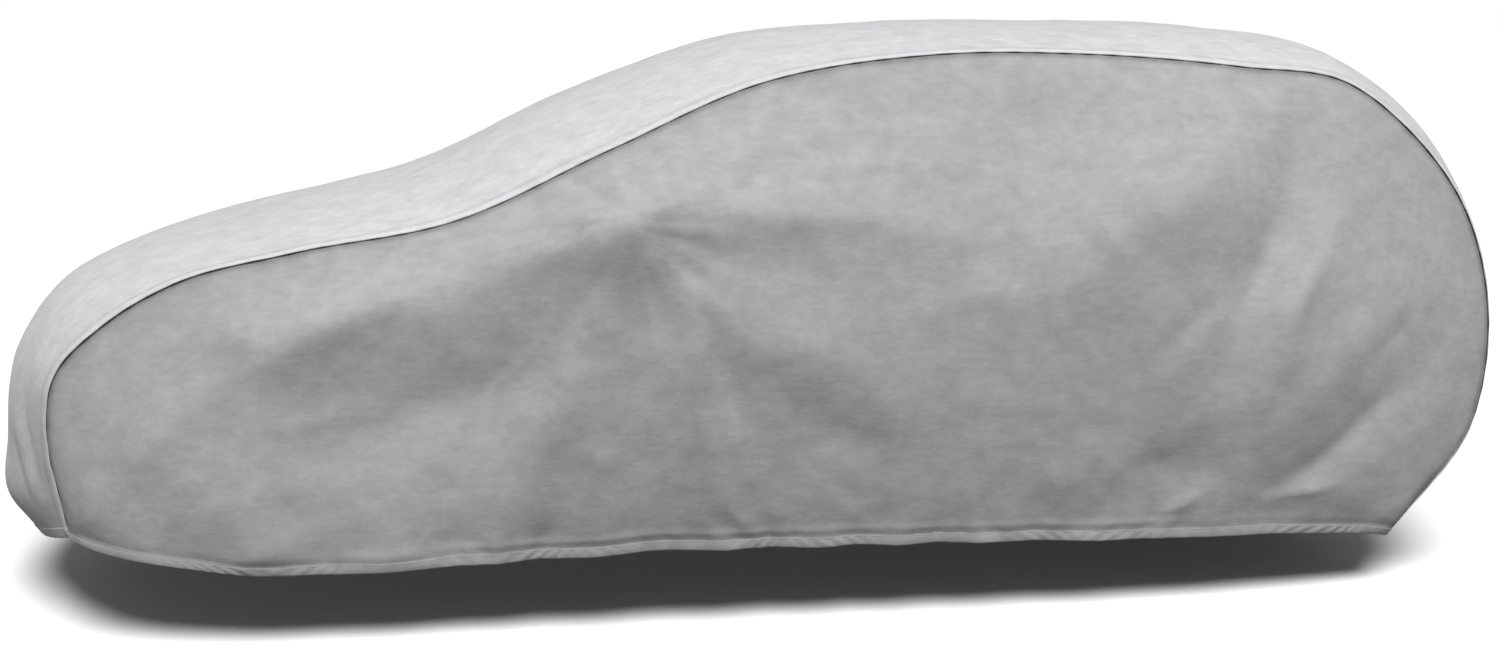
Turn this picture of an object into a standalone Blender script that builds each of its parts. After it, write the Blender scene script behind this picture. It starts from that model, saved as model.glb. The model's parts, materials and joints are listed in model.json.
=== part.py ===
"""A fitted car cover, as it hangs over a compact estate car.

The cover is three cut cloths: a light strip that runs from the front hem over the
bonnet, windscreen, roof and tailgate to the rear hem, and a grey panel on each side,
sewn to the strip along one curved seam and ending in the hem. The car is not here: the
cover is hollow and open below.

The sizes in the tables are a fitter's measures: "back" is metres behind the foremost
point of the cover, "out" is metres out from the middle plane and "up" is metres above
the ground. The part's own frame has its origin under the top of the roof, with the
front towards -X, the left side towards -Y and +Z up. Units are metres.
"""
import bpy
import bmesh
import numpy as np

# ---- driving sizes ----
CLOTH = 0.002               # thickness of the cloth
SEAM_GAP = 0.0004           # from cloth to cloth along a seam
MOUNT_BACK = 3.00           # where the roof is held, behind the foremost point
MOUNT_UP = 1.669            # height of the cloth's underside there

CELLS_ALONG = 78            # along the cover
CELLS_ACROSS = 8            # across the strip, seam to seam
CELLS_DOWN = 22             # down a side, seam to hem

# ---- sections, front to rear ----
# middle: the strip's middle line; seam: where strip and side meet; hem: the side's edge.
# high_out and low_out: how far out the side stands one and two thirds of the way down.
# crown: the power of the strip's arch across, flatter in the middle when it is higher.
SECTION_COLUMNS = ("middle_back", "middle_up", "seam_back", "seam_out", "seam_up",
                   "hem_back", "hem_out", "hem_up", "high_out", "low_out", "crown")
SECTIONS = {
    "front hem":       (0.10, 0.200, 0.295, 0.700, 0.300, 0.295, 0.700, 0.300, 0.700, 0.700, 2.2),
    "bumper low":      (0.01, 0.310, 0.275, 0.700, 0.410, 0.370, 0.755, 0.280, 0.730, 0.745, 2.2),
    "bumper":          (0.02, 0.470, 0.255, 0.700, 0.530, 0.460, 0.800, 0.265, 0.755, 0.790, 2.2),
    "nose":            (0.065, 0.735, 0.285, 0.710, 0.755, 0.630, 0.840, 0.240, 0.780, 0.830, 2.2),
    "bonnet edge":     (0.195, 0.920, 0.425, 0.725, 0.895, 0.800, 0.855, 0.220, 0.810, 0.870, 2.3),
    "bonnet front":    (0.42, 1.025, 0.610, 0.730, 1.000, 1.000, 0.860, 0.215, 0.830, 0.880, 2.5),
    "bonnet":          (0.80, 1.130, 0.920, 0.720, 1.075, 1.250, 0.860, 0.220, 0.845, 0.895, 2.5),
    "windscreen foot": (1.25, 1.250, 1.350, 0.700, 1.150, 1.550, 0.860, 0.230, 0.850, 0.900, 2.4),
    "windscreen":      (1.72, 1.465, 1.790, 0.670, 1.340, 1.900, 0.860, 0.240, 0.845, 0.905, 2.3),
    "roof front":      (2.20, 1.625, 2.230, 0.630, 1.520, 2.250, 0.860, 0.235, 0.840, 0.910, 2.4),
    "front seats":     (2.70, 1.665, 2.700, 0.610, 1.590, 2.650, 0.860, 0.230, 0.840, 0.910, 2.5),
    "rear seats":      (3.20, 1.670, 3.170, 0.600, 1.590, 3.050, 0.860, 0.220, 0.840, 0.910, 2.5),
    "roof rear":       (3.70, 1.650, 3.650, 0.600, 1.550, 3.350, 0.850, 0.210, 0.830, 0.900, 2.5),
    "roof edge":       (4.04, 1.590, 3.960, 0.610, 1.505, 3.550, 0.840, 0.205, 0.810, 0.885, 2.4),
    "rear window":     (4.30, 1.435, 4.160, 0.620, 1.365, 3.700, 0.820, 0.200, 0.780, 0.860, 2.3),
    "tailgate top":    (4.47, 1.220, 4.345, 0.640, 1.130, 3.850, 0.800, 0.190, 0.750, 0.830, 2.2),
    "tailgate":        (4.56, 0.880, 4.435, 0.660, 0.800, 3.960, 0.780, 0.180, 0.730, 0.790, 2.2),
    "rear bumper":     (4.52, 0.550, 4.385, 0.690, 0.470, 4.050, 0.760, 0.170, 0.720, 0.760, 2.2),
    "rear hem":        (4.24, 0.190, 4.120, 0.720, 0.150, 4.120, 0.720, 0.150, 0.720, 0.720, 2.2),
}

# ---- the tent that the door mirror pushes into each side ----
MIRROR_BACK, MIRROR_UP = 1.83, 1.11
MIRROR_REACH = 0.11         # how far the tip stands out
MIRROR_TIP = 0.05           # radius of its round tip
MIRROR_SPREAD = 0.22        # the tent falls to about a third over this distance

# ---- folds of the side panels, each from one end to the other ----
# A ridge has a height above zero and a trough one below. bow is how far the middle of
# the fold lies above the straight line between its ends. round is the radius of its
# crest as a share of its width, and peak the share of the way along it where it is
# highest. right_share is the share of the height on the right-hand side, which hangs a
# little differently.
FOLD_COLUMNS = ("start_back", "start_up", "end_back", "end_up", "bow",
                "start_width", "end_width", "round", "height", "peak", "right_share")
FOLDS = {
    "mirror to wing":         (1.93, 1.125, 0.70, 0.865, -0.03, 0.09, 0.08, 0.35, 0.052, 0.16, 0.9),
    "wing edge":              (1.45, 0.95, 0.44, 0.80, 0.00, 0.07, 0.05, 0.50, 0.016, 0.50, 0.9),
    "along the wing":         (1.42, 0.98, 0.56, 0.58, 0.07, 0.11, 0.09, 0.25, 0.036, 0.45, 0.9),
    "wing to nose":           (0.82, 0.78, 0.42, 0.34, 0.06, 0.06, 0.05, 0.30, 0.014, 0.50, 0.8),
    "under the wing":         (1.80, 0.85, 0.70, 0.44, 0.00, 0.14, 0.13, 0.80, -0.052, 0.50, 1.1),
    "hem behind the wheel":   (1.36, 0.25, 0.96, 0.22, 0.00, 0.07, 0.07, 0.60, 0.022, 0.50, 1.1),
    "front wheel, low":       (1.00, 0.30, 0.68, 0.25, 0.00, 0.05, 0.05, 0.60, 0.014, 0.50, 1.1),
    "front door, front":      (1.74, 0.95, 1.24, 0.34, 0.00, 0.06, 0.09, 0.80, -0.028, 0.50, 1.0),
    "front door ridge":       (1.80, 1.04, 1.44, 0.26, 0.00, 0.05, 0.08, 0.70, 0.040, 0.45, 1.0),
    "mirror straight down":   (1.85, 1.08, 1.88, 0.24, 0.00, 0.04, 0.05, 0.60, -0.027, 0.25, 0.8),
    "front door, rear":       (1.96, 1.02, 2.12, 0.26, -0.01, 0.04, 0.08, 0.40, 0.030, 0.32, 0.9),
    "behind that ridge":      (1.95, 0.98, 2.24, 0.48, 0.00, 0.05, 0.06, 0.60, -0.016, 0.50, 0.8),
    "mirror to rear door":    (1.83, 1.05, 2.78, 0.38, 0.065, 0.07, 0.10, 0.60, 0.032, 0.38, 1.1),
    "under that ridge":       (2.16, 0.78, 2.66, 0.32, 0.02, 0.06, 0.08, 0.80, -0.014, 0.50, 0.9),
    "mirror to rear seats":   (1.75, 1.15, 2.98, 1.09, 0.01, 0.06, 0.10, 0.40, 0.044, 0.32, 1.0),
    "mirror to roof":         (1.77, 1.05, 2.34, 1.40, 0.00, 0.05, 0.08, 0.30, 0.028, 0.32, 0.9),
    "mirror to windscreen":   (1.80, 1.11, 1.66, 1.32, 0.00, 0.02, 0.03, 0.50, -0.014, 0.45, 1.1),
    "above the rear door":    (2.00, 1.16, 2.66, 1.22, 0.00, 0.04, 0.06, 0.40, 0.016, 0.45, 0.9),
    "rear door, high":        (3.05, 1.60, 2.94, 1.06, 0.00, 0.07, 0.08, 0.80, -0.030, 0.45, 0.8),
    "rear door, wide":        (2.46, 0.86, 3.00, 0.95, 0.00, 0.05, 0.06, 0.30, 0.010, 0.50, 0.9),
    "rear door, low":         (2.86, 0.42, 3.28, 0.40, 0.00, 0.05, 0.05, 1.00, 0.009, 0.50, 0.9),
    "rear quarter, high":     (2.74, 0.76, 3.92, 1.55, 0.00, 0.14, 0.14, 0.40, 0.068, 0.50, 1.0),
    "rear quarter trough":    (3.90, 1.64, 3.46, 0.54, 0.00, 0.07, 0.07, 0.60, -0.048, 0.45, 0.8),
    "before the tailgate":    (3.94, 1.26, 3.58, 0.52, 0.00, 0.06, 0.06, 0.40, 0.032, 0.55, 1.0),
    "rear quarter, low":      (4.26, 1.12, 3.50, 0.42, -0.05, 0.10, 0.08, 0.50, 0.024, 0.50, 1.1),
    "behind the rear wheel":  (4.33, 0.86, 3.52, 0.25, -0.07, 0.07, 0.05, 0.50, -0.030, 0.50, 0.9),
    "before the rear wheel":  (3.16, 0.44, 3.60, 0.42, 0.00, 0.07, 0.07, 1.00, -0.020, 0.50, 0.7),
}
FOLD_EDGE = 0.16            # the folds fade to nothing over this much cloth at the seam
HEM_EDGE = 0.05             # and to half over this much cloth at the hem

# ---- the elastic's gathers along the hem ----
GATHER_START, GATHER_END = 1.25, 3.45
GATHER_PITCH = 0.28
GATHER_DEPTH = 0.006
GATHER_HEIGHT = 0.12        # how far up the gathers reach

LIGHT_GREY = (0.52, 0.52, 0.53, 1.0)
MID_GREY = (0.35, 0.35, 0.35, 1.0)
CLOTH_ROUGHNESS = 0.95


def clear_scene():
    for item in list(bpy.data.objects):
        bpy.data.objects.remove(item, do_unlink=True)


def cloth_material(name, colour):
    material = bpy.data.materials.new(name)
    material.use_nodes = True
    shader = material.node_tree.nodes["Principled BSDF"]
    shader.inputs["Base Color"].default_value = colour
    shader.inputs["Roughness"].default_value = CLOTH_ROUGHNESS
    shader.inputs["Metallic"].default_value = 0.0
    material.diffuse_color = colour
    return material


def through(knots, rows, at):
    """A smooth curve through the rows at its knots: on each span a cubic whose slopes at
    both ends are those of the neighbouring rows."""
    slopes = np.gradient(rows, knots, axis=0)
    span = np.clip(np.searchsorted(knots, at, side="right") - 1, 0, len(knots) - 2)
    width = (knots[span + 1] - knots[span])[:, None]
    s = (at - knots[span])[:, None] / width
    start, end = rows[span], rows[span + 1]
    return (start * (1 + 2 * s) * (1 - s) ** 2 + end * s * s * (3 - 2 * s)
            + width * (slopes[span] * s * (1 - s) ** 2 - slopes[span + 1] * s * s * (1 - s)))


def read_sections(cells):
    """The section table, read at even steps along the seam, one array for each column."""
    table = np.array(list(SECTIONS.values()))
    first = SECTION_COLUMNS.index("seam_back")
    seam_steps = np.diff(table[:, first:first + 3], axis=0)
    knots = np.concatenate(([0.0], np.cumsum(np.linalg.norm(seam_steps, axis=1))))
    values = through(knots, table, np.linspace(0.0, knots[-1], cells + 1))
    return {name: values[:, [column]] for column, name in enumerate(SECTION_COLUMNS)}


def rise(distance, width):
    """0 at the line, rising smoothly to 1 at the width."""
    s = np.clip(distance / width, 0.0, 1.0)
    return s * s * (3.0 - 2.0 * s)


def mirror_tent(back, up):
    """A cone with a round tip over the door mirror, which fades away exponentially."""
    distance = np.hypot(back - MIRROR_BACK, up - MIRROR_UP)
    from_tip = np.sqrt(distance ** 2 + MIRROR_TIP ** 2) - MIRROR_TIP
    return MIRROR_REACH * np.exp(-from_tip / MIRROR_SPREAD)


def folds(back, up, right):
    """The sum of the folds. Across a fold its height falls away exponentially from a round
    crest, at its width, which changes from one end to the other. Along it the height
    rises smoothly to its peak and falls again, and its line is bowed to one side."""
    total = np.zeros_like(back)
    for row in FOLDS.values():
        fold = dict(zip(FOLD_COLUMNS, row))
        along_back = fold["end_back"] - fold["start_back"]
        along_up = fold["end_up"] - fold["start_up"]
        length = np.hypot(along_back, along_up)
        direction = np.sign(along_back) or 1.0
        from_back, from_up = back - fold["start_back"], up - fold["start_up"]
        share = (from_back * along_back + from_up * along_up) / length ** 2
        above = (from_up * abs(along_back) - from_back * along_up * direction) / length
        growth = fold["end_width"] - fold["start_width"]
        width = fold["start_width"] + growth * np.clip(share, 0.0, 1.0)
        off = (above - fold["bow"] * 4 * share * (1 - share)) / width
        section = np.exp(fold["round"] - np.sqrt(off ** 2 + fold["round"] ** 2))
        ends = rise(share, fold["peak"]) * rise(1.0 - share, 1.0 - fold["peak"])
        height = fold["height"] * (fold["right_share"] if right else 1.0)
        total += height * ends * section
    return total


def gathers(back, above_hem):
    """Waves along the hem, fading upwards and at both ends of the elastic."""
    reach = rise(back - GATHER_START, GATHER_PITCH) * rise(GATHER_END - back, GATHER_PITCH)
    wave = np.sin(2 * np.pi * back / GATHER_PITCH + np.sin(5.0 * back))
    return GATHER_DEPTH * wave * reach * np.exp(-above_hem / GATHER_HEIGHT)


def unit(vectors):
    return vectors / np.maximum(np.linalg.norm(vectors, axis=-1, keepdims=True), 1e-12)


def grid_normals(points):
    """Unit normals of a grid, from the cross product of its two slopes. A first or last
    row that is one point takes the mean of the row beside it."""
    along, across = np.gradient(points, axis=0), np.gradient(points, axis=1)
    normals = unit(np.cross(along, across))
    for end, beside in ((0, 1), (-1, -2)):
        if np.ptp(points[end], axis=0).max() < CLOTH:
            normals[end] = unit(normals[beside].mean(axis=0))
    return normals


def strip_grid(rows):
    """The strip: each section is an arch, from the middle to the seams by the share of
    the way out raised to the crown's power. The cells narrow towards the seams."""
    even = np.linspace(-1.0, 1.0, CELLS_ACROSS + 1)[None, :]
    share = (even + np.sin(even * np.pi / 2)) / 2
    arch = np.abs(share) ** rows["crown"]
    back = rows["middle_back"] * (1 - arch) + rows["seam_back"] * arch
    up = rows["middle_up"] * (1 - arch) + rows["seam_up"] * arch
    return np.stack((back, rows["seam_out"] * share, up), axis=2)


def side_grid(rows, right):
    """A side, drawn out towards +Y: each section runs straight from the seam to the hem
    as seen from the side, and its out distance is the cubic through the seam, high, low
    and hem values. The tent, the folds and the gathers then move it along its normal."""
    v = np.linspace(0.0, 1.0, CELLS_DOWN + 1)[None, :]
    back = rows["seam_back"] * (1 - v) + rows["hem_back"] * v
    up = rows["seam_up"] * (1 - v) + rows["hem_up"] * v
    out = (rows["seam_out"] * (1 - 3 * v) * (1 - 1.5 * v) * (1 - v)
           + rows["high_out"] * 9 * v * (1 - 1.5 * v) * (1 - v)
           - rows["low_out"] * 4.5 * v * (1 - 3 * v) * (1 - v)
           + rows["hem_out"] * v * (1 - 3 * v) * (1 - 1.5 * v))
    plain = np.stack((back, out, up), axis=2)
    length = np.linalg.norm(plain[:, -1] - plain[:, 0], axis=1)[:, None]
    below_seam, above_hem = v * length, (1 - v) * length
    lift = (mirror_tent(back, up) + folds(back, up, right)) * (1 + rise(above_hem, HEM_EDGE)) / 2
    lift += gathers(back, above_hem)
    return plain + grid_normals(plain) * (lift * rise(below_seam, FOLD_EDGE))[..., None]


def pull_back(points, seam, beside):
    """Move a cloth's seam edge back by half the seam's gap, square to the seam. An end
    that is one point moves as a whole."""
    along = unit(np.gradient(points[:, seam], axis=0))
    away = points[:, beside] - points[:, seam]
    away -= along * (away * along).sum(axis=1, keepdims=True)
    away[np.linalg.norm(away, axis=1) < CLOTH] = 0.0
    away = unit(away)
    for end, neighbour in ((0, 1), (-1, -2)):
        if not away[end].any():
            away[end] = away[neighbour]
            points[end] += away[end] * SEAM_GAP / 2
            points[end, seam] -= away[end] * SEAM_GAP / 2
    points[:, seam] += away * SEAM_GAP / 2


def cloth_solid(name, outer, depth, material):
    """One closed cloth: the outer grid, the same grid moved in by its depth, and a rim.
    Both faces are cut along the same diagonals, so the cloth keeps its thickness, and
    the rims on both sides of a seam are cut alike, so they keep their gap."""
    inner = outer - depth
    count = outer.shape[0] * outer.shape[1]
    index = np.arange(count).reshape(outer.shape[:2])
    a, b, c, d = index[:-1, :-1], index[1:, :-1], index[1:, 1:], index[:-1, 1:]
    faces = np.concatenate([np.stack(t, axis=-1).reshape(-1, 3) for t in ((a, b, c), (a, c, d))])
    around = np.concatenate((index[0, :-1], index[:-1, -1], index[-1, :0:-1], index[:0:-1, 0]))
    low, high = np.sort((around, np.roll(around, -1)), axis=0)
    rim = [np.stack(t, axis=-1) for t in ((low, high, high + count), (low, high + count, low + count))]
    faces = np.concatenate([faces, faces[:, ::-1] + count] + rim)
    points = np.concatenate((outer, inner)).reshape(-1, 3)
    points = points - np.array((MOUNT_BACK, 0.0, MOUNT_UP))

    mesh = bpy.data.meshes.new(name)
    mesh.from_pydata(points.tolist(), [], faces.tolist())
    work = bmesh.new()
    work.from_mesh(mesh)
    bmesh.ops.remove_doubles(work, verts=work.verts, dist=0.00001)
    bmesh.ops.recalc_face_normals(work, faces=work.faces)
    work.to_mesh(mesh)
    work.free()
    mesh.shade_smooth()
    mesh.set_sharp_from_angle(angle=np.radians(50.0))
    mesh.materials.append(material)
    cloth = bpy.data.objects.new(name, mesh)
    bpy.context.scene.collection.objects.link(cloth)
    return cloth


def main():
    clear_scene()
    light = cloth_material("light_grey_cloth", LIGHT_GREY)
    grey = cloth_material("mid_grey_cloth", MID_GREY)
    rows = read_sections(CELLS_ALONG)
    strip = strip_grid(rows)
    strip_normals = grid_normals(strip)
    strip_depth = strip_normals * CLOTH

    for name, seam, beside, right in (("side_panel_left", 0, 1, False),
                                      ("side_panel_right", -1, -2, True)):
        towards = np.array((1.0, 1.0 if right else -1.0, 1.0))
        side = side_grid(rows, right) * towards
        side_normals = grid_normals(side * towards) * towards
        depth = side_normals * CLOTH
        mitre = unit(strip_normals[:, seam] + side_normals[:, 0])
        mitre_depth = mitre * CLOTH / (mitre * side_normals[:, 0]).sum(axis=1, keepdims=True)
        depth[:, 0] = mitre_depth
        depth[0], depth[-1] = mitre_depth[0], mitre_depth[-1]
        strip_depth[:, seam] = mitre_depth
        pull_back(side, 0, 1)
        pull_back(strip, seam, beside)
        cloth_solid(name, side, depth, grey)
    cloth_solid("centre_panel", strip, strip_depth, light)


if __name__ == "__main__":
    main()
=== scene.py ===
"""The looks of a fitted car cover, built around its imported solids.

The cover is sewn from three cloths: a light strip from the front hem over the bonnet,
the windscreen, the roof and the tailgate to the rear hem, and a grey panel on each side.
Each is a thin sheet on the folds of its solid, with finer creases, a lapped seam, and an
elastic casing along its hem. The car is not here: the cover hangs as over a car.

The tables hold a fitter's measures in metres: "back" is the distance behind the foremost
point of the cover, "out" the distance out from the middle plane and "up" the height
above the ground. The part's frame has its origin under the top of the roof, with the
front towards -X, the left side towards -Y and +Z up.
"""
import json
import math

import bmesh
import bpy
import numpy as np
from bpy.props import FloatProperty, FloatVectorProperty, IntProperty, PointerProperty
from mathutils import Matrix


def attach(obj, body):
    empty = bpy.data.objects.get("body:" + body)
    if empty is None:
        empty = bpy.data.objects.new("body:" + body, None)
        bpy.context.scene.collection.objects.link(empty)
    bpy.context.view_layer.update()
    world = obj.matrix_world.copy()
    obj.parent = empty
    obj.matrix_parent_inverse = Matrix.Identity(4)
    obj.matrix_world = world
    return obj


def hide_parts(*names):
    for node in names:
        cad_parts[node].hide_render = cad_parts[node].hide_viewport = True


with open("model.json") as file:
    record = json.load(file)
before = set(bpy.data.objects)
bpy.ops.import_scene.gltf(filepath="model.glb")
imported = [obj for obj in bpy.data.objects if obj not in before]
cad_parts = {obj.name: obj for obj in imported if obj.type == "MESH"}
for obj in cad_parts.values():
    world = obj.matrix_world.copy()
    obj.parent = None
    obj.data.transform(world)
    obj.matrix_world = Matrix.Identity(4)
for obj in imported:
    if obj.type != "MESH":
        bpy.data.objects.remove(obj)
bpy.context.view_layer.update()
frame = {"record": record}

bl_info = {
    "name": "Car Cover",
    "version": (1, 0, 0),
    "blender": (4, 5, 0),
    "location": "3D View > Sidebar > Car Cover",
    "description": "Builds the cloths, hems and studio of a fitted car cover",
    "category": "Object",
}

# ---- where the part's own frame lies in the fitter's measures ----
MOUNT_BACK = 3.00
MOUNT_UP = 1.669

INSIDE = (2.3, 0.0, 0.8)    # a place well inside the cover: back, out and up

# ---- sections, front to rear, as the solids have them ----
# middle: the strip's middle line; seam: where strip and side meet; hem: the side's edge.
# high_out and low_out: how far out the side stands one and two thirds of the way down.
# crown: the power of the strip's arch across, flatter in the middle when it is higher.
SECTION_COLUMNS = ("middle_back", "middle_up", "seam_back", "seam_out", "seam_up",
                   "hem_back", "hem_out", "hem_up", "high_out", "low_out", "crown")
SECTIONS = {
    "front hem":       (0.10, 0.200, 0.295, 0.700, 0.300, 0.295, 0.700, 0.300, 0.700, 0.700, 2.2),
    "bumper low":      (0.01, 0.310, 0.275, 0.700, 0.410, 0.370, 0.755, 0.280, 0.730, 0.745, 2.2),
    "bumper":          (0.02, 0.470, 0.255, 0.700, 0.530, 0.460, 0.800, 0.265, 0.755, 0.790, 2.2),
    "nose":            (0.065, 0.735, 0.285, 0.710, 0.755, 0.630, 0.840, 0.240, 0.780, 0.830, 2.2),
    "bonnet edge":     (0.195, 0.920, 0.425, 0.725, 0.895, 0.800, 0.855, 0.220, 0.810, 0.870, 2.3),
    "bonnet front":    (0.42, 1.025, 0.610, 0.730, 1.000, 1.000, 0.860, 0.215, 0.830, 0.880, 2.5),
    "bonnet":          (0.80, 1.130, 0.920, 0.720, 1.075, 1.250, 0.860, 0.220, 0.845, 0.895, 2.5),
    "windscreen foot": (1.25, 1.250, 1.350, 0.700, 1.150, 1.550, 0.860, 0.230, 0.850, 0.900, 2.4),
    "windscreen":      (1.72, 1.465, 1.790, 0.670, 1.340, 1.900, 0.860, 0.240, 0.845, 0.905, 2.3),
    "roof front":      (2.20, 1.625, 2.230, 0.630, 1.520, 2.250, 0.860, 0.235, 0.840, 0.910, 2.4),
    "front seats":     (2.70, 1.665, 2.700, 0.610, 1.590, 2.650, 0.860, 0.230, 0.840, 0.910, 2.5),
    "rear seats":      (3.20, 1.670, 3.170, 0.600, 1.590, 3.050, 0.860, 0.220, 0.840, 0.910, 2.5),
    "roof rear":       (3.70, 1.650, 3.650, 0.600, 1.550, 3.350, 0.850, 0.210, 0.830, 0.900, 2.5),
    "roof edge":       (4.04, 1.590, 3.960, 0.610, 1.505, 3.550, 0.840, 0.205, 0.810, 0.885, 2.4),
    "rear window":     (4.30, 1.435, 4.160, 0.620, 1.365, 3.700, 0.820, 0.200, 0.780, 0.860, 2.3),
    "tailgate top":    (4.47, 1.220, 4.345, 0.640, 1.130, 3.850, 0.800, 0.190, 0.750, 0.830, 2.2),
    "tailgate":        (4.56, 0.880, 4.435, 0.660, 0.800, 3.960, 0.780, 0.180, 0.730, 0.790, 2.2),
    "rear bumper":     (4.52, 0.550, 4.385, 0.690, 0.470, 4.050, 0.760, 0.170, 0.720, 0.760, 2.2),
    "rear hem":        (4.24, 0.190, 4.120, 0.720, 0.150, 4.120, 0.720, 0.150, 0.720, 0.720, 2.2),
}

# ---- the tent that the door mirror pushes into each side ----
MIRROR_BACK, MIRROR_UP = 1.83, 1.11
MIRROR_REACH = 0.11         # how far the tip stands out
MIRROR_TIP = 0.05           # radius of its round tip
MIRROR_SPREAD = 0.22        # the tent falls to about a third over this distance

# ---- folds of the side panels, as the solids have them ----
# A ridge has a height above zero and a trough one below. bow is how far the middle of
# the fold lies above the straight line between its ends. round is the radius of its
# crest as a share of its width, and peak the share of the way along it where it is
# highest. right_share is the share of the height on the right-hand side, which hangs a
# little differently.
# start_back, start_up, end_back, end_up, bow, start_width, end_width, round, height, peak,
# right_share
FOLDS = {
    "mirror to wing":        (1.93, 1.125, 0.70, 0.865, -0.03, 0.09, 0.08, 0.35, 0.052, 0.16, 0.9),
    "wing edge":             (1.45, 0.95, 0.44, 0.80, 0.00, 0.07, 0.05, 0.50, 0.016, 0.50, 0.9),
    "along the wing":        (1.42, 0.98, 0.56, 0.58, 0.07, 0.11, 0.09, 0.25, 0.036, 0.45, 0.9),
    "wing to nose":          (0.82, 0.78, 0.42, 0.34, 0.06, 0.06, 0.05, 0.30, 0.014, 0.50, 0.8),
    "under the wing":        (1.80, 0.85, 0.70, 0.44, 0.00, 0.14, 0.13, 0.80, -0.052, 0.50, 1.1),
    "hem behind the wheel":  (1.36, 0.25, 0.96, 0.22, 0.00, 0.07, 0.07, 0.60, 0.022, 0.50, 1.1),
    "front wheel, low":      (1.00, 0.30, 0.68, 0.25, 0.00, 0.05, 0.05, 0.60, 0.014, 0.50, 1.1),
    "front door, front":     (1.74, 0.95, 1.24, 0.34, 0.00, 0.06, 0.09, 0.80, -0.028, 0.50, 1.0),
    "front door ridge":      (1.80, 1.04, 1.44, 0.26, 0.00, 0.05, 0.08, 0.70, 0.040, 0.45, 1.0),
    "mirror straight down":  (1.85, 1.08, 1.88, 0.24, 0.00, 0.04, 0.05, 0.60, -0.027, 0.25, 0.8),
    "front door, rear":      (1.96, 1.02, 2.12, 0.26, -0.01, 0.04, 0.08, 0.40, 0.030, 0.32, 0.9),
    "behind that ridge":     (1.95, 0.98, 2.24, 0.48, 0.00, 0.05, 0.06, 0.60, -0.016, 0.50, 0.8),
    "mirror to rear door":   (1.83, 1.05, 2.78, 0.38, 0.065, 0.07, 0.10, 0.60, 0.032, 0.38, 1.1),
    "under that ridge":      (2.16, 0.78, 2.66, 0.32, 0.02, 0.06, 0.08, 0.80, -0.014, 0.50, 0.9),
    "mirror to rear seats":  (1.75, 1.15, 2.98, 1.09, 0.01, 0.06, 0.10, 0.40, 0.044, 0.32, 1.0),
    "mirror to roof":        (1.77, 1.05, 2.34, 1.40, 0.00, 0.05, 0.08, 0.30, 0.028, 0.32, 0.9),
    "mirror to windscreen":  (1.80, 1.11, 1.66, 1.32, 0.00, 0.02, 0.03, 0.50, -0.014, 0.45, 1.1),
    "above the rear door":   (2.00, 1.16, 2.66, 1.22, 0.00, 0.04, 0.06, 0.40, 0.016, 0.45, 0.9),
    "rear door, high":       (3.05, 1.60, 2.94, 1.06, 0.00, 0.07, 0.08, 0.80, -0.030, 0.45, 0.8),
    "rear door, wide":       (2.46, 0.86, 3.00, 0.95, 0.00, 0.05, 0.06, 0.30, 0.010, 0.50, 0.9),
    "rear door, low":        (2.86, 0.42, 3.28, 0.40, 0.00, 0.05, 0.05, 1.00, 0.009, 0.50, 0.9),
    "rear quarter, high":    (2.74, 0.76, 3.92, 1.55, 0.00, 0.14, 0.14, 0.40, 0.068, 0.50, 1.0),
    "rear quarter trough":   (3.90, 1.64, 3.46, 0.54, 0.00, 0.07, 0.07, 0.60, -0.048, 0.45, 0.8),
    "before the tailgate":   (3.94, 1.26, 3.58, 0.52, 0.00, 0.06, 0.06, 0.40, 0.032, 0.55, 1.0),
    "rear quarter, low":     (4.26, 1.12, 3.50, 0.42, -0.05, 0.10, 0.08, 0.50, 0.024, 0.50, 1.1),
    "behind the rear wheel": (4.33, 0.86, 3.52, 0.25, -0.07, 0.07, 0.05, 0.50, -0.030, 0.50, 0.9),
    "before the rear wheel": (3.16, 0.44, 3.60, 0.42, 0.00, 0.07, 0.07, 1.00, -0.020, 0.50, 0.7),
}
FOLD_EDGE = 0.16            # the folds fade to nothing over this much cloth at the seam
HEM_EDGE = 0.05             # and to half over this much cloth at the hem
GATHER_START, GATHER_END = 1.25, 3.45
GATHER_PITCH, GATHER_DEPTH, GATHER_HEIGHT = 0.28, 0.006, 0.12

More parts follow.
